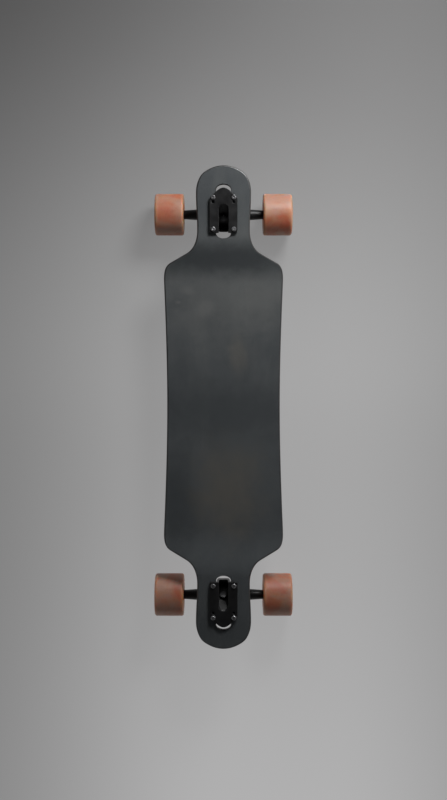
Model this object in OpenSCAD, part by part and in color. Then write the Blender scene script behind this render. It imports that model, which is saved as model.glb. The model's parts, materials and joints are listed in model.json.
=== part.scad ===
// Drop-through longboard skateboard, wheels down.
// +X points to the nose, +Z is up, and the origin is on the ground under the middle of the board.
// Each truck is drawn for the nose end, around its axle, and the tail truck is the same one turned round.

/* [Deck] */
// Length from nose to tail
deck_length = 968.4; // [960:1:980]
// Width in the middle of the platform
waist_width = 227.4; // [220:1:232]
// Width at the hips, the widest places of the platform
hip_width = 240; // [236:1:244]
// Width of the necks between the wheels
neck_width = 105.4; // [100:1:110]
// Width of the rounded lobes at both ends
lobe_width = 110.6; // [110:1:116]
// Thickness of the wood
deck_thickness = 12; // [10:0.5:13]
// Thickness of the grip tape
grip_thickness = 1; // [0.8:0.1:1.2]
// How far the platform lies below the ends
platform_drop = 18; // [12:1:20]
// Length of the slot that each truck hangs through
slot_length = 107.6; // [106:0.2:110]
// Width of the slot
slot_width = 29.6; // [29:0.1:31]

/* [Trucks] */
// Distance between the two axles
wheelbase = 782; // [778:1:786]
// Height of the mounting face above the axle
mount_height = 66; // [66:0.5:68]
// Angle of the steering axis above the ground
steer_angle = 50; // [48:1:52]
// How far the axle sits below and outside the steering axis
rake = 6; // [5:0.5:7]
// Width of the hanger between its two end faces
hanger_width = 195.4; // [193:0.2:197]
// Hole spacing along the board
bolt_spacing_x = 63.5; // [63:0.1:64]
// Hole spacing across the board
bolt_spacing_y = 41.3; // [41:0.1:41.6]
// Thickness of the baseplate's flange
flange_thickness = 7; // [6:0.5:8]

/* [Wheels] */
// Wheel diameter
wheel_diameter = 85; // [83:1:86]
// Wheel width
wheel_width = 59; // [56:1:60]
// Diameter of the axle
axle_diameter = 7.94; // [7.9:0.02:7.96]

/* [Hidden] */
$fn = 96;
ENDS = ["front", "rear"];
SIDES = ["left", "right"];
TRUCK_PARTS = [
    "baseplate", "pivot_cup", "kingpin", "kingpin_nut", "boardside_bushing", "roadside_bushing",
    "boardside_washer", "roadside_washer", "mounting_bolts", "lock_nuts", "hanger", "axle",
    "axle_nuts", "speed_washers", "bearing_spacers", "bearing_inner_rings"
];
WHEEL_PARTS = ["tyre", "core", "bearing_outer_rings", "bearing_shields", "bearing_balls", "bearing_cages"];

// Colours
GRIP = [0.13, 0.13, 0.13];
STAINED_PLY = [0.10, 0.09, 0.085];
CAST_BLACK = [0.07, 0.07, 0.075];
STEEL = [0.62, 0.62, 0.64];
BLACK_STEEL = [0.16, 0.16, 0.17];
URETHANE = [0.78, 0.36, 0.22];
BUSHING = [0.55, 0.17, 0.10];
CORE = [0.20, 0.09, 0.06];
PLASTIC = [0.10, 0.10, 0.10];

// Heights above the ground
axle_z = wheel_diameter / 2;
end_top = axle_z + mount_height;
platform_top = end_top - platform_drop;

// Deck outline: [along, half width, heading] from the waist to the tip, one quarter of the board
tip_x = deck_length / 2;
hip_x = 247;
hip_turn = 60;
outline_knots = [
    [0, waist_width / 2, 0],
    [hip_x, hip_width / 2, 2.4],
    [hip_x + 42.1, hip_width / 2 - 12.3, -hip_turn],
    [hip_x + 61.3, hip_width / 2 - 46, -hip_turn],
    [hip_x + 106.8, neck_width / 2, 0],
    [tip_x - 54.6, lobe_width / 2, 0],
    [tip_x - 21.2, lobe_width / 2 - 9.1, -32],
    [tip_x - 7, lobe_width / 2 - 27, -63],
    [tip_x, 0, -90]
];
outline_steps = 12;
slope_foot = 240;
slope_head = 340;
slope_skew = 1.25;
slope_steps = 24;
slot_x = 391.8;
slot_end = 10;

// Truck
seat = 4.5;
ring_half = 6;
ring_up = 30;
ring_radius = 16.5;
ring_bore = 7.5;
bushing_radius = 12.4;
bushing_end = 19.5;
bushing_gap = 0.15;
bushing_bore = 5;
washer_thickness = 2;
washer_radius = 13.8;
washer_lip = 2.6;
plate_face = bushing_end + washer_thickness;
plate_wall = 8.5;
kingpin_radius = 4.76;
kingpin_end = 33;
kingpin_hex = 14.3;
kingpin_head = 6;
nut_height = 9;
pocket_width = 18.6;
pocket_end = 14;
pocket_chamfer = 1;
block_width = 27.6;
flange_in = -43;
flange_out = 47.6;
flange_half = 28;
bolt_x = -3.6;
extra_hole_step = 9.5;
bolt_hole = 2.75;
bolt_radius = 2.38;
bolt_length = 27;
bolt_head_radius = 4.6;
bolt_head_height = 3;
socket_hex = 3.2;
lock_nut_hex = 9.5;
lock_nut_height = 5.9;
boss_radius = 12.5;
boss_mouth = -12.2;
boss_shoulder = -24;
boss_bottom = -29;
cup_radius = 9;
cup_bottom = -26;
pin_radius = 6.3;
pin_tip = -23.5;
arm_radius = 11.2;
arm_shoulder_radius = 10.8;
arm_shoulder = 57;
arm_end_radius = 8;

// Wheel, seen along its axle from its own middle
wheel_y = hanger_width / 2 + 13;
bearing_inner_face = 5;
bearing_width = 7;
bearing_outer_face = bearing_inner_face + bearing_width;
bearing_radius = 11;
bearing_middle = (bearing_inner_face + bearing_outer_face) / 2;
race_radius = 7.75;
ball_radius = 1.9;
groove_radius = 2.1;
ball_count = 7;
speed_washer = 1;
axle_nut_height = 7;
axle_nut_hex = 12.7;
axle_end = wheel_y + bearing_outer_face + speed_washer + axle_nut_height + 1;
core_radius = 18.5;
core_half = 15;
tread_half = 24.8;
fit_gap = 0.02;

// Geometry helpers

function ease(t) = (1 - cos(180 * t)) / 2;

function clamp01(t) = min(1, max(0, t));

// How far the deck has risen from the platform, at a distance from the middle
function rise(x) =
    platform_drop * ease(pow(clamp01((abs(x) - slope_foot) / (slope_head - slope_foot)), slope_skew));

function arc(centre, radius, from, to, steps) = [
    for (i = [0:steps])
        let (a = from + (to - from) * i / steps)
        [centre[0] + radius * cos(a), centre[1] + radius * sin(a)]
];

function cubic(a, b, c, d, t) =
    pow(1 - t, 3) * a + 3 * pow(1 - t, 2) * t * b + 3 * (1 - t) * t * t * c + t * t * t * d;

// One smooth stretch between two knots, each [x, y, heading], without its last point
function stretch(from, to, steps) =
    let (
        a = [from[0], from[1]],
        d = [to[0], to[1]],
        reach = norm(d - a) / (3 * pow(cos((to[2] - from[2]) / 4), 2)),
        b = a + reach * [cos(from[2]), sin(from[2])],
        c = d - reach * [cos(to[2]), sin(to[2])]
    )
    [for (i = [0:steps - 1]) cubic(a, b, c, d, i / steps)];

quarter = [
    for (i = [0:len(outline_knots) - 2])
        each stretch(outline_knots[i], outline_knots[i + 1], outline_steps)
];
last = len(quarter) - 1;

deck_outline = concat(
    quarter,
    [[tip_x, 0]],
    [for (i = [last:-1:1]) [quarter[i][0], -quarter[i][1]]],
    [for (p = quarter) [-p[0], -p[1]]],
    [[-tip_x, 0]],
    [for (i = [last:-1:1]) [-quarter[i][0], quarter[i][1]]]
);

slope_xs = concat(
    [-tip_x - 1],
    [for (i = [0:slope_steps]) -slope_head + (slope_head - slope_foot) * i / slope_steps],
    [for (i = [0:slope_steps]) slope_foot + (slope_head - slope_foot) * i / slope_steps],
    [tip_x + 1]
);

// A layer of the deck between two depths under its top surface, full width
module layer(top, bottom) {
    upper = [for (x = slope_xs) [x, platform_top + rise(x) - top]];
    lower = [for (i = [len(slope_xs) - 1:-1:0]) [slope_xs[i], platform_top + rise(slope_xs[i]) - bottom]];
    rotate([90, 0, 0])
        linear_extrude(hip_width + 10, center = true)
            polygon(concat(upper, lower));
}

module slot_shape() {
    straight = slot_length / 2 - slot_end;
    polygon(concat(
        [for (a = [-90:7.5:90]) [straight + slot_end * cos(a), slot_width / 2 * sin(a)]],
        [for (a = [90:7.5:270]) [-straight + slot_end * cos(a), slot_width / 2 * sin(a)]]
    ));
}

module deck_layer(top, bottom) {
    difference() {
        intersection() {
            layer(top, bottom);
            linear_extrude(end_top + 10) polygon(deck_outline);
        }
        for (turn = [0, 180]) rotate([0, 0, turn]) {
            translate([slot_x, 0, 0]) linear_extrude(end_top + 10) slot_shape();
            translate([wheelbase / 2, 0, 0]) at_bolts() cylinder(r = bolt_hole, h = end_top + 10);
        }
    }
}

// Places

module at_truck(end) {
    rotate([0, 0, end == "front" ? 0 : 180])
        translate([wheelbase / 2, 0, axle_z])
            children();
}

// Wheels named left are on the +Y side of the board
module at_wheel(end, side) {
    translate([(end == "front" ? 1 : -1) * wheelbase / 2, (side == "left" ? 1 : -1) * wheel_y, axle_z])
        along_axle()
            children();
}

module at_bolts() {
    for (x = [-1, 1]) for (y = [-1, 1])
        translate([bolt_x + x * bolt_spacing_x / 2, y * bolt_spacing_y / 2, 0]) children();
}

// Turns +Z to the axle's direction
module along_axle() {
    rotate([90, 0, 0]) children();
}

// +Z runs up the steering axis, +X towards the road along the kingpin, from the foot of the axle
module tilted() {
    rotate([0, 90 - steer_angle, 0]) translate([-rake, 0, 0]) children();
}

// +Z runs down the kingpin from the middle of the hanger's ring
module on_kingpin() {
    tilted() translate([0, 0, ring_up]) rotate([0, 90, 0]) children();
}

module tube(outer, inner, height) {
    difference() {
        cylinder(r = outer, h = height);
        translate([0, 0, -1]) cylinder(r = inner, h = height + 2);
    }
}

module hexagon(across_flats, height) {
    cylinder(d = across_flats / cos(30), h = height, $fn = 6);
}

module mirrored() {
    children();
    mirror([0, 0, 1]) children();
}

// Deck

module deck() {
    color(STAINED_PLY) deck_layer(grip_thickness, grip_thickness + deck_thickness);
}

module grip_tape() {
    color(GRIP) deck_layer(0, grip_thickness);
}

// Truck

// The flange seen from above: rounded tip at the outer end, small corners at the inner end
module flange_shape() {
    shoulder = bolt_x + bolt_spacing_x / 2 + 1.5;
    tip_half = 13;
    tip_start = flange_out - 6;
    corner = 4;
    polygon(concat(
        arc([flange_in + corner, -flange_half + corner], corner, 180, 270, 6),
        arc([shoulder - corner, -flange_half + corner], corner, 270, 308, 4),
        stretch([tip_start, -tip_half, 52], [flange_out, 0, 90], 8),
        stretch([flange_out, 0, 90], [tip_start, tip_half, 128], 8),
        [[tip_start, tip_half]],
        arc([shoulder - corner, flange_half - corner], corner, 52, 90, 4),
        arc([flange_in + corner, flange_half - corner], corner, 90, 180, 6)
    ));
}

// Point on the side view of the truck, from its place up the steering axis and along the kingpin
function side_point(up, out) = [
    (out - rake) * sin(steer_angle) + up * cos(steer_angle),
    up * sin(steer_angle) - (out - rake) * cos(steer_angle)
];

// The casting under the flange, in side view
module block_side() {
    face_up = (mount_height + 0.5 - (plate_face + rake) * cos(steer_angle)) / sin(steer_angle);
    polygon([
        [flange_in + 3, mount_height + 0.5],
        side_point(face_up, -plate_face),
        side_point(boss_mouth, -plate_face),
        side_point(boss_mouth, -boss_radius + 2),
        side_point(boss_shoulder, -boss_radius + 2),
        [-36, 10],
        [-38, 30]
    ]);
}

// The hollow of the casting, in side view: the kingpin's head sits on its sloping floor
module pocket_side() {
    floor = plate_face + plate_wall;
    polygon([
        side_point(80, -floor),
        side_point(-5, -floor),
        [-33.5, 23],
        [-34, 31],
        [flange_in - 5, 31],
        [flange_in - 5, side_point(80, -floor)[1]]
    ]);
}

// The bevel around the mouth of the hollow, in the flange's upper face
module pocket_rim() {
    half = pocket_width / 2;
    bottom = mount_height + flange_thickness - pocket_chamfer;
    proud = 0.5;
    wide = half + pocket_chamfer + proud;
    height = pocket_chamfer + proud;
    translate([pocket_end - half, 0, bottom]) cylinder(r1 = half, r2 = wide, h = height);
    translate([flange_in - 5, 0, bottom])
        rotate([90, 0, 90])
            linear_extrude(pocket_end - half - flange_in + 5)
                polygon([[-half, 0], [half, 0], [wide, height], [-wide, height]]);
}

module extruded_side(width) {
    rotate([90, 0, 0]) linear_extrude(width, center = true) children();
}

module baseplate() {
    round_back = flange_in + 3 + block_width / 2;
    color(CAST_BLACK) difference() {
        union() {
            translate([0, 0, mount_height]) linear_extrude(flange_thickness) flange_shape();
            intersection() {
                extruded_side(block_width) block_side();
                union() {
                    translate([round_back, 0, -50]) cylinder(d = block_width, h = 150);
                    translate([round_back, -block_width, -50]) cube([100, 2 * block_width, 150]);
                }
            }
            tilted() translate([0, 0, boss_shoulder])
                cylinder(r = boss_radius, h = boss_mouth - boss_shoulder);
            tilted() translate([0, 0, boss_bottom])
                cylinder(r1 = boss_radius - 4.5, r2 = boss_radius, h = boss_shoulder - boss_bottom);
        }
        intersection() {
            extruded_side(pocket_width) pocket_side();
            union() {
                translate([pocket_end - pocket_width / 2, 0, -50]) cylinder(d = pocket_width, h = 150);
                translate([pocket_end - pocket_width / 2 - 80, -pocket_width, -50])
                    cube([80, 2 * pocket_width, 150]);
            }
        }
        pocket_rim();
        tilted() translate([0, 0, cup_bottom]) cylinder(r = cup_radius + fit_gap, h = 20);
        on_kingpin() translate([0, 0, -plate_face - plate_wall - 2])
            cylinder(r = kingpin_radius + 0.1, h = plate_wall + 4);
        translate([0, 0, mount_height - 1]) {
            at_bolts() cylinder(r = bolt_hole, h = flange_thickness + 2);
            for (y = [-1, 1])
                translate([bolt_x + bolt_spacing_x / 2 - extra_hole_step, y * bolt_spacing_y / 2, 0])
                    cylinder(r = bolt_hole, h = flange_thickness + 2);
        }
    }
}

module pivot_cup() {
    wall_bottom = 2;
    color(PLASTIC) tilted() translate([0, 0, cup_bottom]) difference() {
        cylinder(r = cup_radius, h = boss_mouth - cup_bottom - 0.1);
        translate([0, 0, wall_bottom]) cylinder(r = pin_radius + 0.3, h = 20);
    }
}

module kingpin() {
    chamfer = 1;
    color(BLACK_STEEL) on_kingpin() {
        translate([0, 0, -plate_face - plate_wall - kingpin_head])
            hexagon(kingpin_hex, kingpin_head);
        translate([0, 0, -plate_face - plate_wall - 0.5])
            cylinder(r = kingpin_radius, h = kingpin_end - chamfer + plate_face + plate_wall + 0.5);
        translate([0, 0, kingpin_end - chamfer])
            cylinder(r1 = kingpin_radius, r2 = kingpin_radius - chamfer, h = chamfer);
    }
}

module kingpin_nut() {
    color(STEEL) on_kingpin() translate([0, 0, plate_face]) difference() {
        hexagon(kingpin_hex, nut_height);
        translate([0, 0, -1]) cylinder(r = kingpin_radius + 0.05, h = nut_height + 2);
    }
}

// Barrel bushing: [radius, height] profile between the seat and its far end
module bushing(far_radius) {
    height = bushing_end - seat - bushing_gap;
    soft_edge = 1.2;
    rotate_extrude() polygon([
        [bushing_bore, 0],
        [bushing_radius - soft_edge, 0],
        [bushing_radius, soft_edge],
        [bushing_radius, height * 0.45],
        [far_radius, height - soft_edge],
        [far_radius - soft_edge, height],
        [bushing_bore, height]
    ]);
}

module boardside_bushing() {
    color(BUSHING) on_kingpin() mirror([0, 0, 1]) translate([0, 0, seat + bushing_gap])
        bushing(bushing_radius);
}

module roadside_bushing() {
    color(BUSHING) on_kingpin() translate([0, 0, seat + bushing_gap]) bushing(9.6);
}

// Cup washer, its lip around the end of the bushing
module cup_washer() {
    rotate_extrude() polygon([
        [bushing_bore, 0],
        [washer_radius, 0],
        [washer_radius, washer_thickness + washer_lip],
        [bushing_radius + 0.3, washer_thickness + washer_lip],
        [bushing_radius + 0.3, washer_thickness],
        [bushing_bore, washer_thickness]
    ]);
}

module boardside_washer() {
    color(STEEL) on_kingpin() translate([0, 0, -plate_face]) cup_washer();
}

module roadside_washer() {
    color(STEEL) on_kingpin() translate([0, 0, plate_face]) mirror([0, 0, 1]) cup_washer();
}

module mounting_bolts() {
    edge = 1;
    color(STEEL) translate([0, 0, mount_height + flange_thickness]) at_bolts() difference() {
        union() {
            translate([0, 0, -bolt_length]) cylinder(r = bolt_radius, h = bolt_length + 0.5);
            cylinder(r = bolt_head_radius, h = bolt_head_height - edge);
            translate([0, 0, bolt_head_height - edge])
                cylinder(r1 = bolt_head_radius, r2 = bolt_head_radius - edge, h = edge);
        }
        translate([0, 0, bolt_head_height - 2]) hexagon(socket_hex, 3);
    }
}

module lock_nuts() {
    deck_under = mount_height - grip_thickness - deck_thickness;
    color(STEEL) translate([0, 0, deck_under - lock_nut_height]) at_bolts() difference() {
        union() {
            hexagon(lock_nut_hex, lock_nut_height - 1.5);
            cylinder(r = bolt_hole + 1.6, h = lock_nut_height);
        }
        translate([0, 0, -1]) cylinder(r = bolt_radius + 0.05, h = lock_nut_height + 2);
    }
}

// The two round arms with their end collars, turned around the axle
module arms() {
    collar = 2.5;
    half = hanger_width / 2;
    along_axle() rotate_extrude() polygon([
        [0, -half],
        [arm_end_radius - 1.2, -half],
        [arm_end_radius, -half + collar],
        [arm_shoulder_radius, -arm_shoulder],
        [arm_radius, 0],
        [arm_shoulder_radius, arm_shoulder],
        [arm_end_radius, half - collar],
        [arm_end_radius - 1.2, half],
        [0, half]
    ]);
}

// The flat web between the arms and the ring, with two lightening pockets
module web() {
    from = -seat;
    thickness = seat + 7;
    pocket_depth = 3.5;
    tilted() translate([from, 0, 0]) rotate([0, 90, 0]) difference() {
        linear_extrude(thickness) polygon([
            [2, -50], [-5, -46], [-18, -24], [-ring_up, -ring_radius + 0.5],
            [-ring_up, ring_radius - 0.5], [-18, 24], [-5, 46], [2, 50]
        ]);
        for (side = [-1, 1]) translate([-13, side * 19.5, thickness - pocket_depth])
            cylinder(r = 4, h = pocket_depth + 1);
    }
}

module hanger() {
    pin_end = 1.5;
    color(CAST_BLACK) difference() {
        union() {
            arms();
            web();
            on_kingpin() translate([0, 0, -ring_half]) cylinder(r = ring_radius, h = 2 * ring_half);
            tilted() translate([0, 0, -10]) cylinder(r = 8.5, h = 14);
            tilted() translate([0, 0, pin_tip + pin_end]) cylinder(r = pin_radius, h = -pin_tip - pin_end);
            tilted() translate([0, 0, pin_tip])
                cylinder(r1 = pin_radius - pin_end, r2 = pin_radius, h = pin_end);
        }
        on_kingpin() translate([0, 0, -20]) cylinder(r = ring_bore, h = 40);
        on_kingpin() translate([0, 0, seat]) cylinder(r = bushing_radius + 0.4, h = 20);
        on_kingpin() translate([0, 0, -seat - 20]) cylinder(r = bushing_radius + 0.4, h = 20);
        along_axle() cylinder(d = axle_diameter + 0.06, h = hanger_width + 2, center = true);
    }
}

module axle() {
    chamfer = 1;
    radius = axle_diameter / 2;
    color(STEEL) along_axle() rotate_extrude() polygon([
        [0, -axle_end], [radius - chamfer, -axle_end], [radius, -axle_end + chamfer],
        [radius, axle_end - chamfer], [radius - chamfer, axle_end], [0, axle_end]
    ]);
}

// Puts a piece on both ends of the axle, at a distance outwards from each wheel's middle
module both_ends(distance) {
    along_axle() mirrored() translate([0, 0, wheel_y + distance]) children();
}

module axle_nuts() {
    color(STEEL) both_ends(bearing_outer_face + speed_washer) difference() {
        union() {
            hexagon(axle_nut_hex, axle_nut_height - 2);
            cylinder(r = axle_nut_hex / 2 - 0.8, h = axle_nut_height);
        }
        translate([0, 0, -1]) cylinder(d = axle_diameter + 0.1, h = axle_nut_height + 2);
    }
}

module speed_washers() {
    color(STEEL) for (face = [-bearing_outer_face - speed_washer, bearing_outer_face])
        both_ends(face) tube(6.2, axle_diameter / 2 + 0.1, speed_washer);
}

module bearing_spacers() {
    color(STEEL) both_ends(-bearing_inner_face) tube(5.6, axle_diameter / 2 + 0.06, 2 * bearing_inner_face);
}

module ring_with_groove(outer, inner) {
    rotate_extrude() difference() {
        translate([inner, -bearing_width / 2]) square([outer - inner, bearing_width]);
        translate([race_radius, 0]) circle(r = groove_radius);
    }
}

module bearing_inner_rings() {
    color(STEEL) for (side = [-1, 1])
        both_ends(side * bearing_middle) ring_with_groove(6.05, axle_diameter / 2 + 0.05);
}

// Wheel pieces, drawn along +Z around the wheel's own middle

module bearing_outer_rings() {
    color(STEEL) for (side = [-1, 1]) translate([0, 0, side * bearing_middle])
        ring_with_groove(bearing_radius, 9.35);
}

module bearing_shields() {
    color(PLASTIC) for (side = [-1, 1]) translate([0, 0, side * bearing_middle])
        mirrored() translate([0, 0, 2.9]) tube(9.3, 6.45, 0.4);
}

module bearing_balls() {
    color(STEEL) for (side = [-1, 1]) translate([0, 0, side * bearing_middle])
        for (i = [0:ball_count - 1]) rotate([0, 0, 360 * i / ball_count])
            translate([race_radius, 0, 0]) sphere(r = ball_radius);
}

module bearing_cages() {
    color(STEEL) for (side = [-1, 1]) translate([0, 0, side * bearing_middle])
        mirrored() translate([0, 0, ball_radius + 0.1]) tube(8.3, 7.2, 0.4);
}

module core() {
    mouth = bearing_radius + 1.2;
    chamfer = 2;
    seat_radius = bearing_radius + fit_gap;
    color(CORE) rotate_extrude() polygon([
        [9, -bearing_inner_face],
        [seat_radius, -bearing_inner_face],
        [seat_radius, -bearing_outer_face],
        [mouth, -core_half],
        [core_radius - chamfer, -core_half],
        [core_radius, -core_half + chamfer],
        [core_radius, core_half - chamfer],
        [core_radius - chamfer, core_half],
        [mouth, core_half],
        [seat_radius, bearing_outer_face],
        [seat_radius, bearing_inner_face],
        [9, bearing_inner_face]
    ]);
}

// Half of the tyre's section from the rim of the bore out to the middle of the tread
function tyre_half() =
    let (
        wheel_radius = wheel_diameter / 2,
        half = wheel_width / 2,
        shoulder = half - tread_half,
        lip = 3
    )
    concat(
        [[core_radius + fit_gap, core_half], [core_radius + 2.5, core_half + 0.6], [26, half - 5]],
        arc([29.5, half - lip], lip, 160, 90, 6),
        arc([wheel_radius - shoulder, half - shoulder], shoulder, 90, 0, 12)
    );

module tyre() {
    side = tyre_half();
    color(URETHANE) rotate_extrude() polygon(concat(
        side,
        [for (i = [len(side) - 1:-1:0]) [side[i][0], -side[i][1]]]
    ));
}

deck();
grip_tape();

for (end = ENDS) {
    at_truck(end) baseplate();
    at_truck(end) pivot_cup();
    at_truck(end) kingpin();
    at_truck(end) kingpin_nut();
    at_truck(end) boardside_bushing();
    at_truck(end) roadside_bushing();
    at_truck(end) boardside_washer();
    at_truck(end) roadside_washer();
    at_truck(end) mounting_bolts();
    at_truck(end) lock_nuts();
    at_truck(end) hanger();
    at_truck(end) axle();
    at_truck(end) axle_nuts();
    at_truck(end) speed_washers();
    at_truck(end) bearing_spacers();
    at_truck(end) bearing_inner_rings();
}

for (end = ENDS) for (side = SIDES) {
    wheel = str(end, "_", side);
    at_wheel(end, side) tyre();
    at_wheel(end, side) core();
    at_wheel(end, side) bearing_outer_rings();
    at_wheel(end, side) bearing_shields();
    at_wheel(end, side) bearing_balls();
    at_wheel(end, side) bearing_cages();
}
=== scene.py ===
import json
import math

import bmesh
import bpy
from mathutils import Matrix, Vector
from mathutils.geometry import delaunay_2d_cdt


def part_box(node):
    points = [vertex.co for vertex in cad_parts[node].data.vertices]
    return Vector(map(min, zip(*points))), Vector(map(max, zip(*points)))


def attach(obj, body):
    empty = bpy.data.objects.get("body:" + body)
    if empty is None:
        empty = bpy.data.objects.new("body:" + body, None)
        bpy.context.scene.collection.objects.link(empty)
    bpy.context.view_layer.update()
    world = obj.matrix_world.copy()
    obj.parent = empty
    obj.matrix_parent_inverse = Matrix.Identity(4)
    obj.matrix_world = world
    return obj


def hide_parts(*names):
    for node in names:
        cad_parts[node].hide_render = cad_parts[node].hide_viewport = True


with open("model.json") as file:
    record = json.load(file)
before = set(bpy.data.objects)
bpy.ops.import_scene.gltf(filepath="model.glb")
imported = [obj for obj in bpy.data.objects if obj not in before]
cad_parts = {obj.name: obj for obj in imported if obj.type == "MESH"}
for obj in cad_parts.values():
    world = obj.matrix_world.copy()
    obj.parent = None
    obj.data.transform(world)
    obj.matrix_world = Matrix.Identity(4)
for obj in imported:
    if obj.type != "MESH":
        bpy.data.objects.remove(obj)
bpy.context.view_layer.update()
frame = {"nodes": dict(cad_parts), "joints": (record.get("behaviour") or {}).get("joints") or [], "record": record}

MM = 0.001
ENDS = ("front", "rear")
SIDES = ("left", "right")


# ---------------------------------------------------------------- places

def joint_place(name):
    return Vector(next(j["pos_m"] for j in frame["joints"] if j["name"] == name))


AXLE_X, WHEEL_Y, AXLE_Z = joint_place("front_left_wheel_spin")
STEER_ANGLE = math.radians(50)
RAKE = 6 * MM
# Along the steering axis, up to the middle of the hanger's ring
RING_UP = 30 * MM
# Mounting bolts, from the axle: their middle, and half their spacing along and across the board
BOLTS_X = -3.6 * MM
BOLT_HALF_X = 31.75 * MM
BOLT_HALF_Y = 20.65 * MM
# The deck's slope from the platform up to each end
PLATFORM_DROP = 18 * MM
SLOPE_FOOT = 240 * MM
SLOPE_HEAD = 340 * MM
SLOPE_SKEW = 1.25
# The deck's make-up, and how far the grip stays inside its edge and its slots
PLY = 1.7 * MM
GRIP_THICKNESS = 1 * MM
GRIP_INSET = 2.8 * MM
SLOT_INSET = 1.2 * MM
DECK_EDGE_RADIUS = 3 * MM

TRUCK = {
    "front": Matrix.Translation((AXLE_X, 0, AXLE_Z)),
    "rear": Matrix.Rotation(math.pi, 4, "Z") @ Matrix.Translation((AXLE_X, 0, AXLE_Z)),
}
ALONG_AXLE = Matrix.Rotation(math.pi / 2, 4, "X")
# +Z up the steering axis, then +Z down the kingpin from the middle of the hanger's ring
TILTED = Matrix.Rotation(math.pi / 2 - STEER_ANGLE, 4, "Y") @ Matrix.Translation((-RAKE, 0, 0))
ON_KINGPIN = TILTED @ Matrix.Translation((0, 0, RING_UP)) @ Matrix.Rotation(math.pi / 2, 4, "Y")


def wheel_place(end, side):
    x = AXLE_X if end == "front" else -AXLE_X
    y = WHEEL_Y if side == "left" else -WHEEL_Y
    return Matrix.Translation((x, y, AXLE_Z))


# ---------------------------------------------------------------- shader building

class Shader:
    """One material's nodes around its Principled shader, in object coordinates in metres."""

    def __init__(self, name, **surface):
        self.material = bpy.data.materials.new(name)
        self.material.use_nodes = True
        self.nodes = self.material.node_tree.nodes
        self.links = self.material.node_tree.links
        self.surface = self.nodes["Principled BSDF"]
        self.place = self.nodes.new("ShaderNodeTexCoord").outputs["Object"]
        for key, value in surface.items():
            self.put(self.surface.inputs[key.replace("_", " ")], value)

    def put(self, socket, value):
        if isinstance(value, bpy.types.NodeSocket):
            self.links.new(value, socket)
        else:
            socket.default_value = value

    def add(self, kind, inputs, **settings):
        node = self.nodes.new(kind)
        for key, value in settings.items():
            setattr(node, key, value)
        for key, value in inputs.items():
            self.put(node.inputs[key], value)
        return node

    def stretched(self, x, y, z):
        inputs = {0: self.place, 1: (x, y, z)}
        return self.add("ShaderNodeVectorMath", inputs, operation="MULTIPLY").outputs[0]

    def noise(self, scale, detail=3.0, roughness=0.55, distortion=0.0, place=None):
        inputs = {
            "Vector": place or self.place, "Scale": scale, "Detail": detail,
            "Roughness": roughness, "Distortion": distortion,
        }
        return self.add("ShaderNodeTexNoise", inputs).outputs["Fac"]

    def cells(self, scale):
        return self.add("ShaderNodeTexVoronoi", {"Vector": self.place, "Scale": scale}).outputs["Distance"]

    def math(self, operation, a, b=0.0):
        return self.add("ShaderNodeMath", {0: a, 1: b}, operation=operation).outputs[0]

    def spread(self, value, low, high, to_low=0.0, to_high=1.0):
        inputs = {"Value": value, "From Min": low, "From Max": high, "To Min": to_low, "To Max": to_high}
        return self.add("ShaderNodeMapRange", inputs, interpolation_type="SMOOTHSTEP").outputs["Result"]

    def mix(self, share, a, b):
        node = self.nodes.new("ShaderNodeMix")
        node.data_type = "RGBA"
        self.put(node.inputs[0], share)
        self.put(node.inputs[6], a)
        self.put(node.inputs[7], b)
        return node.outputs[2]

    def split(self):
        return self.add("ShaderNodeSeparateXYZ", {0: self.place}).outputs

    def attribute(self, name):
        return self.add("ShaderNodeAttribute", {}, attribute_name=name).outputs["Fac"]

    def bump(self, height, distance, strength):
        inputs = {"Height": height, "Distance": distance, "Strength": strength}
        return self.add("ShaderNodeBump", inputs).outputs["Normal"]

    def finish(self, **surface):
        for key, value in surface.items():
            self.put(self.surface.inputs[key.replace("_", " ")], value)
        return self.material


def grey(value):
    return (value, value, value, 1.0)


def rgb(r, g, b):
    return (r, g, b, 1.0)


# ---------------------------------------------------------------- materials

# Patches on the grip, partly dust and wear and partly painted light and shade: x, y, half sizes in metres,
# strength, kind
GRIP_TONES_AND_PAINTED_LIGHT = (
    # The lighter patches mix dust with painted light, which brightens the left front and the platform below the
    # front slope
    (0.233, 0.070, 0.010, 0.016, 0.16, "dust_and_painted_light"),
    (0.210, 0.091, 0.006, 0.010, 0.30, "dust_and_painted_light"),
    (0.198, 0.034, 0.018, 0.024, 0.20, "dust_and_painted_light"),
    (0.235, 0.000, 0.140, 0.200, 0.28, "dust_and_painted_light"),
    (0.215, -0.070, 0.070, 0.050, 0.14, "dust_and_painted_light"),
    (0.105, -0.028, 0.045, 0.022, 0.24, "worn"),
    # Painted shade: a dark band across the front slope
    (0.298, 0.000, 0.044, 0.200, 0.90, "darker_and_painted_shade"),
    (-0.005, 0.000, 0.070, 0.200, 0.65, "darker_and_painted_shade"),
    (-0.190, 0.095, 0.140, 0.050, 0.75, "darker_and_painted_shade"),
    (-0.170, -0.008, 0.110, 0.080, 0.42, "worn"),
    (-0.450, 0.000, 0.050, 0.080, 0.40, "darker_and_painted_shade"),
)


def patch(s, x, y, half_x, half_y, edge):
    """1 inside an ellipse on the deck's top, with a torn edge, and 0 outside it."""
    px, py, _ = s.split()
    dx = s.math("DIVIDE", s.math("SUBTRACT", px, x), half_x)
    dy = s.math("DIVIDE", s.math("SUBTRACT", py, y), half_y)
    far = s.math("SQRT", s.math("ADD", s.math("MULTIPLY", dx, dx), s.math("MULTIPLY", dy, dy)))
    torn = s.math("ADD", far, s.math("MULTIPLY", s.math("SUBTRACT", edge, 0.5), 1.3))
    return s.spread(torn, 1.25, 0.15)


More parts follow.
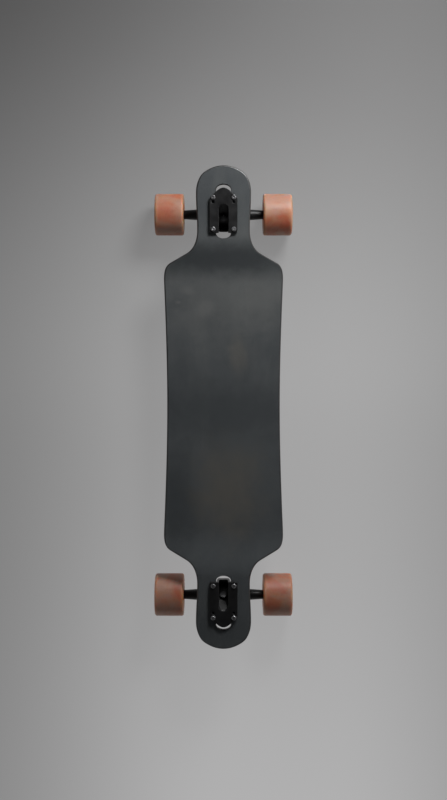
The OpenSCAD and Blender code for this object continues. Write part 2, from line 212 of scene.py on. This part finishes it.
def grip_material():
    s = Shader("grip_grit", Roughness=0.93, Specular_IOR_Level=0.30)
    grit = s.noise(1900, 2.0, 0.7)
    grains = s.cells(1300)
    cloud = s.noise(8, 6.0, 0.66, 0.6)
    streaks = s.noise(1.0, 4.0, 0.6, place=s.stretched(4, 22, 4))
    edge = s.noise(26, 4.0, 0.6)
    colour = s.mix(s.spread(grit, 0.35, 0.72), rgb(0.047, 0.052, 0.055), rgb(0.078, 0.085, 0.089))
    colour = s.mix(s.spread(cloud, 0.42, 0.66, 0.0, 0.50), colour, rgb(0.044, 0.049, 0.053))
    colour = s.mix(s.spread(streaks, 0.50, 0.74, 0.0, 0.34), colour, rgb(0.088, 0.093, 0.092))
    tones = {
        "dust_and_painted_light": rgb(0.150, 0.150, 0.143),
        "worn": rgb(0.112, 0.098, 0.076),
        "darker_and_painted_shade": rgb(0.036, 0.041, 0.044),
    }
    for x, y, half_x, half_y, share, tone in GRIP_TONES_AND_PAINTED_LIGHT:
        shape = patch(s, x, y, half_x, half_y, edge)
        amount = s.math("MULTIPLY", shape, share)
        colour = s.mix(amount, colour, tones[tone])
    # Painted glints: light grey specks at the grains' tips
    painted_glints = s.spread(grains, 0.12, 0.02)
    colour = s.mix(s.math("MULTIPLY", painted_glints, 0.3), colour, grey(0.30))
    height = s.math("ADD", grit, s.math("MULTIPLY", grains, 0.8))
    return s.finish(Base_Color=colour, Normal=s.bump(height, 0.0004, 0.9))


def ply_material():
    s = Shader("stained_ply", Specular_IOR_Level=0.5, Coat_Weight=0.5, Coat_Roughness=0.28)
    depth = s.attribute("ply_depth")
    ply = s.math("SINE", s.math("MULTIPLY", depth, math.pi / PLY))
    grain = s.noise(1.0, 6.0, 0.65, 0.4, place=s.stretched(14, 160, 500))
    pores = s.noise(1.0, 3.0, 0.7, place=s.stretched(60, 900, 2200))
    colour = s.mix(s.spread(ply, -0.35, 0.35), rgb(0.009, 0.009, 0.009), rgb(0.021, 0.021, 0.021))
    colour = s.mix(s.spread(grain, 0.42, 0.70, 0.0, 0.65), colour, rgb(0.034, 0.033, 0.032))
    colour = s.mix(s.spread(pores, 0.60, 0.75, 0.0, 0.6), colour, rgb(0.004, 0.004, 0.004))
    rough = s.spread(grain, 0.3, 0.8, 0.38, 0.62)
    height = s.math("ADD", s.math("MULTIPLY", ply, 0.3), s.math("ADD", grain, pores))
    return s.finish(Base_Color=colour, Roughness=rough, Normal=s.bump(height, 0.00012, 0.6))


def cast_material():
    s = Shader("cast_black_paint", Specular_IOR_Level=0.32, Coat_Weight=0.12, Coat_Roughness=0.3)
    peel = s.noise(900, 2.0, 0.5)
    mottled = s.noise(60, 4.0, 0.6)
    corner = s.nodes.new("ShaderNodeNewGeometry").outputs["Pointiness"]
    rub = s.math("MULTIPLY", s.spread(corner, 0.535, 0.60), s.spread(s.noise(180, 4.0, 0.7), 0.48, 0.66))
    colour = s.mix(mottled, rgb(0.0045, 0.0045, 0.0048), rgb(0.0085, 0.0085, 0.009))
    colour = s.mix(s.math("MULTIPLY", rub, 0.6), colour, rgb(0.16, 0.16, 0.165))
    rough = s.spread(mottled, 0.3, 0.75, 0.34, 0.50)
    return s.finish(Base_Color=colour, Roughness=rough, Normal=s.bump(peel, 0.00008, 0.5))


def steel_material(name, tone, rough_low, rough_high, scratches=1.0):
    s = Shader(name, Metallic=1.0)
    cloud = s.noise(120, 4.0, 0.6)
    lines = s.noise(1.0, 4.0, 0.7, place=s.stretched(300, 300, 3500))
    spots = s.spread(s.noise(420, 3.0, 0.7), 0.62, 0.78)
    colour = s.mix(cloud, rgb(*(0.72 * t for t in tone)), rgb(*tone))
    colour = s.mix(s.math("MULTIPLY", spots, 0.5), colour, rgb(*(0.35 * t for t in tone)))
    rough = s.spread(s.math("ADD", cloud, s.math("MULTIPLY", lines, 0.4)), 0.4, 1.0, rough_low, rough_high)
    normal = s.bump(s.math("ADD", lines, s.math("MULTIPLY", cloud, 0.5)), 0.00006, 0.35 * scratches)
    return s.finish(Base_Color=colour, Roughness=rough, Normal=normal)


def urethane_material():
    s = Shader(
        "orange_urethane", Specular_IOR_Level=0.5, Subsurface_Weight=0.9, Subsurface_Scale=0.020,
        Subsurface_Radius=(1.0, 0.36, 0.18), Coat_Weight=0.08, Coat_Roughness=0.35,
    )
    haze = s.noise(16, 3.0, 0.5, 0.8)
    cloud = s.noise(60, 4.0, 0.6)
    dirt = s.noise(150, 5.0, 0.7)
    from_axle = s.attribute("from_axle")
    across = s.attribute("across")
    tread = s.spread(from_axle, 0.0412, 0.0422)
    edge = s.spread(across, 0.0195, 0.0275)
    colour = s.mix(s.spread(haze, 0.38, 0.62), rgb(0.37, 0.098, 0.046), rgb(0.37, 0.165, 0.072))
    colour = s.mix(s.math("MULTIPLY", s.spread(cloud, 0.35, 0.75), 0.5), colour, rgb(0.38, 0.180, 0.110))
    colour = s.mix(s.math("MULTIPLY", edge, 0.6), colour, rgb(0.44, 0.230, 0.115))
    # Greyish dust on the tread, partly a painted sheen that whitens it
    dust_and_sheen = s.math("MULTIPLY", tread, s.spread(haze, 0.38, 0.62, 0.0, 0.42))
    colour = s.mix(dust_and_sheen, colour, rgb(0.35, 0.235, 0.220))
    grimy = s.math("MULTIPLY", s.math("MULTIPLY", s.spread(dirt, 0.50, 0.74), tread), 0.28)
    colour = s.mix(grimy, colour, rgb(0.20, 0.105, 0.070))
    rough = s.math("ADD", s.spread(dirt, 0.3, 0.8, 0.34, 0.46), s.math("MULTIPLY", tread, 0.14))
    ground = s.noise(1.0, 3.0, 0.6, place=s.stretched(500, 2400, 500))
    height = s.math("ADD", s.math("MULTIPLY", ground, tread), s.math("MULTIPLY", cloud, 0.15))
    return s.finish(Base_Color=colour, Roughness=rough, Normal=s.bump(height, 0.00015, 0.4))


def rubber_material(name, low, high, rough, subsurface=0.0):
    s = Shader(name, Specular_IOR_Level=0.45, Subsurface_Weight=subsurface, Subsurface_Scale=0.004)
    cloud = s.noise(240, 4.0, 0.6)
    fine = s.noise(2600, 2.0, 0.6)
    colour = s.mix(cloud, rgb(*low), rgb(*high))
    roughness = s.spread(cloud, 0.3, 0.8, rough - 0.07, rough + 0.07)
    return s.finish(Base_Color=colour, Roughness=roughness, Normal=s.bump(fine, 0.00005, 0.5))


MATERIALS = {
    "deck_wood": ply_material(),
    "grip_tape": grip_material(),
    "cast_black": cast_material(),
    "cup_urethane": rubber_material("pivot_cup_urethane", (0.02, 0.02, 0.02), (0.05, 0.05, 0.05), 0.55),
    "steel": steel_material("zinc_steel", (0.56, 0.56, 0.58), 0.24, 0.42),
    "bolt_steel": steel_material("bolt_plating", (0.34, 0.34, 0.35), 0.26, 0.42),
    # Near-black steel on the kingpins, whose heads also lie in the pockets' shadow
    "black_steel": steel_material("near_black_steel", (0.05, 0.05, 0.052), 0.32, 0.5),
    "bushing_urethane": rubber_material(
        "bushing_urethane", (0.36, 0.075, 0.035), (0.50, 0.13, 0.06), 0.42, 0.3,
    ),
    "bearing_steel": steel_material("ground_steel", (0.70, 0.70, 0.72), 0.12, 0.24, 0.5),
    "bearing_shield": rubber_material("moulded_shield", (0.012, 0.012, 0.013), (0.03, 0.03, 0.032), 0.5),
    "wheel_urethane": urethane_material(),
    "wheel_core": rubber_material("moulded_core", (0.10, 0.035, 0.020), (0.15, 0.055, 0.03), 0.38),
}


# ---------------------------------------------------------------- piece building

BODY_OF = {node: body for body, nodes in frame["record"]["behaviour"]["bodies"].items() for node in nodes}
SLOT_OF = {part["node"]: part["material_slot"] for part in frame["record"]["subparts"]}


def mesh_from(bm, name, smooth_angle=35):
    bmesh.ops.recalc_face_normals(bm, faces=bm.faces)
    mesh = bpy.data.meshes.new(name)
    bm.to_mesh(mesh)
    bm.free()
    mesh.polygons.foreach_set("use_smooth", [True] * len(mesh.polygons))
    mesh.set_sharp_from_angle(angle=math.radians(smooth_angle))
    return mesh


def add_piece(name, mesh, node):
    """Shows a mesh in place of a CAD node, on that node's body and in its material slot."""
    piece = bpy.data.objects.new(name, mesh)
    bpy.context.scene.collection.objects.link(piece)
    mesh.materials.clear()
    mesh.materials.append(MATERIALS[SLOT_OF[node]])
    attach(piece, BODY_OF[node])
    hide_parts(node)
    return piece


def cad_mesh(node):
    """The node's mesh with its seams joined and its stored normals and UV maps dropped."""
    source = frame["nodes"][node].data.copy()
    for name in ("custom_normal", "sharp_face", "sharp_edge"):
        if name in source.attributes:
            source.attributes.remove(source.attributes[name])
    bm = bmesh.new()
    bm.from_mesh(source)
    bpy.data.meshes.remove(source)
    bmesh.ops.remove_doubles(bm, verts=bm.verts, dist=0.003 * MM)
    for layer in list(bm.loops.layers.uv.values()):
        bm.loops.layers.uv.remove(layer)
    return bm


def refined(node, bevel, segments=3, angle=32, smooth_angle=40, only=None):
    """A CAD node with its edges rounded."""
    bm = cad_mesh(node)
    bmesh.ops.dissolve_limit(bm, angle_limit=math.radians(0.2), verts=bm.verts, edges=bm.edges)
    sharp = [e for e in bm.edges if len(e.link_faces) == 2 and e.calc_face_angle(0) > math.radians(angle)]
    if only:
        sharp = [e for e in sharp if only(e)]
    bmesh.ops.bevel(
        bm, geom=sharp, offset=bevel, offset_type="OFFSET", segments=segments, profile=0.5,
        affect="EDGES", clamp_overlap=False, harden_normals=False,
    )
    return mesh_from(bm, node, smooth_angle)


def cast(node, voxel, rounds):
    """A CAD node as a casting: remeshed, with every edge and inner corner softened."""
    holder = bpy.data.objects.new(node + "_holder", mesh_from(cad_mesh(node), node))
    bpy.context.scene.collection.objects.link(holder)
    remesh = holder.modifiers.new("remesh", "REMESH")
    remesh.mode = "VOXEL"
    remesh.voxel_size = voxel
    smooth = holder.modifiers.new("smooth", "SMOOTH")
    smooth.factor = 0.5
    smooth.iterations = rounds
    bpy.context.view_layer.update()
    made = bpy.data.meshes.new_from_object(holder.evaluated_get(bpy.context.evaluated_depsgraph_get()))
    bpy.data.objects.remove(holder)
    made.polygons.foreach_set("use_smooth", [True] * len(made.polygons))
    return made


def lathe(profile, steps=96, closed=True):
    """Points (radius, height) turned around Z. A third number cuts the ring to a hexagon that wide."""
    bm = bmesh.new()
    rings = []
    for point in profile:
        radius, height = point[0], point[1]
        across = point[2] if len(point) > 2 else None
        if radius < 1e-7:
            rings.append([bm.verts.new((0, 0, height))])
            continue
        ring = []
        for i in range(steps):
            angle = 2 * math.pi * i / steps
            r = radius
            if across:
                r = min(r, across / 2 / math.cos(math.radians(math.degrees(angle) % 60 - 30)))
            ring.append(bm.verts.new((r * math.cos(angle), r * math.sin(angle), height)))
        rings.append(ring)
    pairs = list(zip(rings, rings[1:])) + ([(rings[-1], rings[0])] if closed else [])
    for a, b in pairs:
        if len(a) == 1 and len(b) == 1:
            continue
        for i in range(steps):
            j = (i + 1) % steps
            if len(a) == 1:
                bm.faces.new((a[0], b[j], b[i]))
            elif len(b) == 1:
                bm.faces.new((a[i], a[j], b[0]))
            else:
                bm.faces.new((a[i], a[j], b[j], b[i]))
    return bm


def arc(centre_r, centre_z, radius, start, stop, steps):
    """Points (radius, height) on an arc, with angles in degrees from the radial direction towards +Z."""
    found = []
    for i in range(steps + 1):
        angle = math.radians(start + (stop - start) * i / steps)
        found.append((centre_r + radius * math.cos(angle), centre_z + radius * math.sin(angle)))
    return found


def scaled(points):
    return [tuple(q * MM for q in p) for p in points]


def thread(radius, start, stop, pitch, depth):
    """Profile points of a thread's ridges, from one height to another."""
    count = max(1, int(abs(stop - start) / pitch))
    step = (stop - start) / count
    found = []
    for i in range(count):
        for r, share in ((radius - depth, 0.08), (radius, 0.42), (radius, 0.58), (radius - depth, 0.92)):
            found.append((r, start + step * (i + share)))
    return found


# ---------------------------------------------------------------- deck

def top_loops(bm):
    """The loops (x, y) around the upward faces of a plate, longest first."""
    upper = {f for f in bm.faces if f.normal.z > 0.5}
    rim = [e for e in bm.edges if sum(f in upper for f in e.link_faces) == 1]
    links = {}
    for e in rim:
        for v in e.verts:
            links.setdefault(v, []).append(e.other_vert(v))
    loops, seen = [], set()
    for first in links:
        if first in seen:
            continue
        loop, last, here = [], None, first
        while here not in seen:
            seen.add(here)
            loop.append((here.co.x, here.co.y))
            onward = [v for v in links[here] if v is not last and v not in seen]
            last, here = here, onward[0] if onward else first
        loops.append(loop)
    return sorted(loops, key=len, reverse=True)


def area(loop):
    return sum(a[0] * b[1] - b[0] * a[1] for a, b in zip(loop, loop[1:] + loop[:1])) / 2


def inset(loop, distance):
    """The loop moved inwards by a distance, or outwards if it is negative."""
    turn = 1 if area(loop) > 0 else -1
    moved = []
    for i, (x, y) in enumerate(loop):
        a, b = loop[i - 1], loop[(i + 1) % len(loop)]
        along = Vector((b[0] - a[0], b[1] - a[1])).normalized()
        moved.append((x - turn * along.y * distance, y + turn * along.x * distance))
    return moved


def inside(point, loop):
    x, y = point
    odd = False
    for (ax, ay), (bx, by) in zip(loop, loop[1:] + loop[:1]):
        if (ay > y) != (by > y) and x < ax + (y - ay) * (bx - ax) / (by - ay):
            odd = not odd
    return odd


def build_grip():
    """The sheet of grip tape, cut a little inside the deck's rounded edge and slots."""
    bm = cad_mesh("grip_tape")
    bm.normal_update()
    loops = top_loops(bm)
    upper = [f for f in bm.faces if f.normal.z > 0.5]
    heights = sorted({(round(v.co.x, 6), round(v.co.z, 6)) for f in upper for v in f.verts})
    bm.free()
    outline = inset(loops[0], GRIP_INSET)
    slots = [inset(loop, -SLOT_INSET) for loop in loops[1:] if abs(area(loop)) > 1e-3]

    def height(x):
        for (ax, az), (bx, bz) in zip(heights, heights[1:]):
            if ax <= x <= bx:
                return az if bx - ax < 1e-9 else az + (bz - az) * (x - ax) / (bx - ax)
        return heights[0][1] if x < heights[0][0] else heights[-1][1]

    points, edges = [], []
    for loop in [outline] + slots:
        start = len(points)
        points += [Vector(p) for p in loop]
        edges += [(start + i, start + (i + 1) % len(loop)) for i in range(len(loop))]
    half = max(abs(p[1]) for p in outline) + 5 * MM
    bends = sorted({x for x, _ in heights if 0.2 < abs(x) < 0.35})
    beside = 3 * MM
    ends = [-SLOPE_HEAD - beside, beside - SLOPE_FOOT, SLOPE_FOOT - beside, SLOPE_HEAD + beside]
    middle_lines = [0.01 * i for i in range(-19, 20, 3)]
    for x in bends + ends + middle_lines:
        points += [Vector((x, -half)), Vector((x, half))]
        edges.append((len(points) - 2, len(points) - 1))
    verts, _, faces, _, _, _ = delaunay_2d_cdt(points, edges, [], 0, 1e-6)
    bm = bmesh.new()
    made = [bm.verts.new((v.x, v.y, height(v.x))) for v in verts]
    for face in faces:
        middle = sum((verts[i] for i in face), Vector((0, 0))) / len(face)
        if inside(middle, outline) and not any(inside(middle, s) for s in slots):
            bm.faces.new([made[i] for i in face])
    bmesh.ops.delete(bm, geom=[v for v in bm.verts if not v.link_faces], context="VERTS")
    bm.normal_update()
    for f in bm.faces:
        if f.normal.z < 0:
            f.normal_flip()
    low = bmesh.ops.extrude_face_region(bm, geom=list(bm.faces))["geom"]
    for v in [g for g in low if isinstance(g, bmesh.types.BMVert)]:
        v.co.z -= GRIP_THICKNESS
    return mesh_from(bm, "grip_sheet")


def build_deck():
    """The ply board with rounded edges, and each point's depth below the top for the plies."""
    holes = [
        TRUCK[end] @ Vector((BOLTS_X + x * BOLT_HALF_X, y * BOLT_HALF_Y, 0))
        for end in ENDS for x in (-1, 1) for y in (-1, 1)
    ]

    def free_edge(edge):
        middle = (edge.verts[0].co + edge.verts[1].co) / 2
        flat = abs(edge.verts[0].co.z - edge.verts[1].co.z) < 5 * MM
        return flat and all((middle.xy - hole.xy).length > 5 * MM for hole in holes)

    mesh = refined("deck", DECK_EDGE_RADIUS, segments=5, smooth_angle=30, only=free_edge)
    end_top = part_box("deck")[1].z
    depth = mesh.attributes.new("ply_depth", "FLOAT", "POINT")
    for i, v in enumerate(mesh.vertices):
        share = min(1, max(0, (abs(v.co.x) - SLOPE_FOOT) / (SLOPE_HEAD - SLOPE_FOOT))) ** SLOPE_SKEW
        top = end_top - PLATFORM_DROP * (1 + math.cos(math.pi * share)) / 2
        depth.data[i].value = top - v.co.z
    return mesh


add_piece("deck_board", build_deck(), "deck")
add_piece("grip_sheet", build_grip(), "grip_tape")


# ---------------------------------------------------------------- trucks

def placed(bm, place, name, smooth_angle=35):
    """A lathed piece moved to its place in the truck."""
    bm.transform(place)
    return mesh_from(bm, name, smooth_angle)


def hex_block(low, high, across, bore, cut=0.9):
    """Profile of a nut or head with both faces chamfered."""
    corner = across / 2 / math.cos(math.radians(30))
    face = across / 2 - 0.35
    steps = 5
    shares = [i / steps for i in range(steps + 1)]
    lower = [(face + (corner - face) * share, low + cut * share ** 1.4, across) for share in shares]
    upper = [(r, high - (z - low), across) for r, z, _ in reversed(lower)]
    inner = [(0, high), (0, low)]
    if bore:
        inner = [(bore + 0.5, high), (bore, high - 0.5), (bore, low + 0.5), (bore + 0.5, low)]
    return lower + upper + inner


def bushing_profile(far):
    """Barrel or cone bushing between its seat and its washer."""
    start, stop, bore, wide = 4.65, 19.5, 5.0, 12.4
    middle = start + (stop - start) * 0.45
    edge, cut = 1.3, 0.4
    taper = wide - far
    return (
        [(bore, start + cut), (bore + cut, start), (wide - edge, start)]
        + arc(wide - edge, start + edge, edge, -90, 0, 5)[1:]
        + [(wide, middle - 1), (wide - taper * 0.04, middle)]
        + [(far + taper * 0.5, (middle + stop - edge) / 2)]
        + arc(far - edge, stop - edge, edge, 0, 90, 5)
        + [(bore + cut, stop), (bore, stop - cut)]
    )


# Profiles of (radius, height) in mm, the kingpin's with its head at the bottom
KINGPIN_PROFILE = (
    hex_block(-36, -30, 14.3, 0)[:-2]
    + [(4.9, -30.0), (4.76, -29.8), (4.76, 22)]
    + thread(4.76, 22, 32.2, 1.06, 0.5)
    + [(4.0, 32.6), (3.76, 33), (0, 33)]
)
AXLE_PROFILE = (
    [(0, -131.7), (3.0, -131.7), (3.5, -131.2)]
    + thread(3.97, -131.1, -124.2, 1.06, 0.45)
    + [(3.97, -123.8), (3.97, 123.8)]
    + thread(3.97, 124.2, 131.1, 1.06, 0.45)
    + [(3.5, 131.2), (3.0, 131.7), (0, 131.7)]
)

front_casts = {part: cast("front_" + part, 0.7 * MM, 4) for part in ("baseplate", "hanger")}
HALF_TURN = Matrix.Rotation(math.pi, 4, "Z")
BUSHINGS = (
    ("boardside", 12.4, Matrix.Scale(-1, 4, (0, 0, 1))),
    ("roadside", 9.6, Matrix.Identity(4)),
)
BEVELS = (
    ("mounting_bolts", 0.18), ("lock_nuts", 0.25), ("axle_nuts", 0.3), ("speed_washers", 0.12),
    ("pivot_cup", 0.2), ("bearing_spacers", 0.1), ("bearing_inner_rings", 0.12),
)

for end in ENDS:
    place = TRUCK[end]
    for part, mesh in front_casts.items():
        own = mesh if end == "front" else mesh.copy()
        if end == "rear":
            own.transform(HALF_TURN)
        add_piece(f"{end}_{part}_casting", own, f"{end}_{part}")
    kingpin = lathe([(0, -36 * MM)] + scaled(KINGPIN_PROFILE), closed=False)
    add_piece(f"{end}_kingpin_bolt", placed(kingpin, place @ ON_KINGPIN, "kingpin", 28), f"{end}_kingpin")
    nut = placed(lathe(scaled(hex_block(21.5, 30.5, 14.3, 4.81))), place @ ON_KINGPIN, "kingpin_nut", 28)
    add_piece(f"{end}_kingpin_hex_nut", nut, f"{end}_kingpin_nut")
    for part, far, turn in BUSHINGS:
        bushing = placed(lathe(scaled(bushing_profile(far))), place @ ON_KINGPIN @ turn, part)
        add_piece(f"{end}_{part}_bushing_urethane", bushing, f"{end}_{part}_bushing")
        washer = f"{end}_{part}_washer"
        add_piece(f"{end}_{part}_cup_washer", refined(washer, 0.35 * MM), washer)
    axle = lathe(scaled(AXLE_PROFILE), closed=False)
    add_piece(f"{end}_axle_rod", placed(axle, place @ ALONG_AXLE, "axle", 28), f"{end}_axle")
    for part, bevel in BEVELS:
        node = f"{end}_{part}"
        add_piece(node + "_finished", refined(node, bevel * MM, 2), node)


# ---------------------------------------------------------------- wheels

def tyre_half():
    """Half of the tyre's section in mm, from the rim of its bore to the middle of the tread."""
    return (
        [(18.52, 14.6), (18.9, 15.0), (20.6, 15.5), (21.6, 16.3)]
        + [(25.4, 23.4), (26.0, 24.6)]
        + arc(29.5, 26.5, 3.0, 160, 90, 8)
        + [(30.6, 29.5), (31.0, 29.25), (31.6, 29.25), (32.0, 29.5)]
        + [(37.2, 29.5)]
        + arc(37.8, 24.8, 4.7, 90, 8, 14)
        + [(42.48, 24.0), (42.5, 20), (42.5, 6)]
    )


half = tyre_half()
TYRE_PROFILE = scaled(half + [(r, -z) for r, z in reversed(half)])
WHEEL_BEVELS = (
    ("core", 0.4), ("bearing_outer_rings", 0.12), ("bearing_shields", 0.08), ("bearing_cages", 0.06),
)


def build_tyre(place):
    bm = lathe(TYRE_PROFILE, 160)
    bm.transform(ALONG_AXLE)
    far = [math.hypot(v.co.x, v.co.z) for v in bm.verts]
    across = [abs(v.co.y) for v in bm.verts]
    bm.transform(place)
    mesh = mesh_from(bm, "tyre", 30)
    mesh.attributes.new("from_axle", "FLOAT", "POINT").data.foreach_set("value", far)
    mesh.attributes.new("across", "FLOAT", "POINT").data.foreach_set("value", across)
    return mesh


for end in ENDS:
    for side in SIDES:
        wheel = f"{end}_{side}"
        add_piece(f"{wheel}_tyre_urethane", build_tyre(wheel_place(end, side)), f"{wheel}_tyre")
        for part, bevel in WHEEL_BEVELS:
            node = f"{wheel}_{part}"
            add_piece(node + "_finished", refined(node, bevel * MM, 2), node)

for node, obj in frame["nodes"].items():
    if not obj.hide_render:
        obj.data.materials.clear()
        obj.data.materials.append(MATERIALS[SLOT_OF[node]])


# ---------------------------------------------------------------- floor, light, camera

def floor_material():
    """Pale paper with a soft glow, brightest by the tail, so the board's shadow on it stays weak."""
    s = Shader("pale_floor", Roughness=0.9, Specular_IOR_Level=0.1, Emission_Strength=1.0)
    soft = s.noise(1.3, 3.0, 0.5)
    along_board, across_board, _ = s.split()
    far = s.add("ShaderNodeVectorMath", {0: s.place}, operation="LENGTH").outputs["Value"]
    colour = s.mix(soft, grey(0.09), grey(0.11))
    glow = s.mix(s.spread(along_board, -1.0, 0.0), rgb(0.410, 0.408, 0.410), rgb(0.310, 0.308, 0.309))
    glow = s.mix(s.spread(along_board, 0.0, 1.0), glow, rgb(0.010, 0.009, 0.009))
    aside = s.math("ABSOLUTE", s.math("ADD", across_board, 0.12))
    glow = s.mix(s.spread(aside, 0.10, 0.75, 0.0, 0.5), glow, grey(0.01))
    glow = s.mix(s.spread(far, 1.0, 2.2), glow, rgb(0.330, 0.328, 0.328))
    return s.finish(Base_Color=colour, Emission_Color=glow, Normal=s.bump(s.noise(350, 2.0), 0.0002, 0.3))


FLOOR_SIZE = 14
bpy.ops.mesh.primitive_plane_add(size=FLOOR_SIZE)
floor = bpy.context.object
floor.name = "floor"
floor.data.materials.append(floor_material())


def area_light(name, place, aim, size, power):
    data = bpy.data.lights.new(name, "AREA")
    data.shape = "RECTANGLE"
    data.size, data.size_y = size
    data.energy = power
    lamp = bpy.data.objects.new(name, data)
    bpy.context.scene.collection.objects.link(lamp)
    lamp.location = place
    lamp.rotation_mode = "QUATERNION"
    lamp.rotation_quaternion = (Vector(aim) - Vector(place)).to_track_quat("-Z", "Y")


# Place, aim, size and power: a softbox beyond the nose, a low strip on the right and a weak fill
area_light("key", (1.1, -0.45, 0.82), (0.15, 0, 0.1), (0.5, 0.35), 18.5)
area_light("side", (0.1, -1.5, 0.45), (0, -0.1, 0.06), (1.2, 0.4), 3)
area_light("fill", (-1.0, 1.6, 1.6), (0, 0, 0.1), (1.6, 1.6), 1.5)

world = bpy.data.worlds.new("soft_grey")
world.use_nodes = True
tree = world.node_tree
generated = tree.nodes.new("ShaderNodeTexCoord").outputs["Generated"]
split = tree.nodes.new("ShaderNodeSeparateXYZ")
tree.links.new(generated, split.inputs[0])
ramp = tree.nodes.new("ShaderNodeValToRGB")
tree.links.new(split.outputs["Z"], ramp.inputs["Fac"])
ramp.color_ramp.elements[0].position = 0.0
ramp.color_ramp.elements[0].color = grey(0.30)
ramp.color_ramp.elements[1].position = 0.75
ramp.color_ramp.elements[1].color = grey(0.05)
tree.links.new(ramp.outputs["Color"], tree.nodes["Background"].inputs["Color"])
bpy.context.scene.world = world
bpy.context.scene.view_settings.view_transform = "Standard"

# Straight above the board, with the nose at the top of the picture
CAMERA_X = 0.174
CAMERA_HEIGHT = 2.2585
lens = bpy.data.cameras.new("camera")
lens.lens = 48.4
lens.sensor_width = 36
lens.shift_y = -0.0998
camera = bpy.data.objects.new("camera", lens)
bpy.context.scene.collection.objects.link(camera)
camera.location = (CAMERA_X, 0, CAMERA_HEIGHT)
camera.rotation_euler = (0, 0, -math.pi / 2)
bpy.context.scene.camera = camera
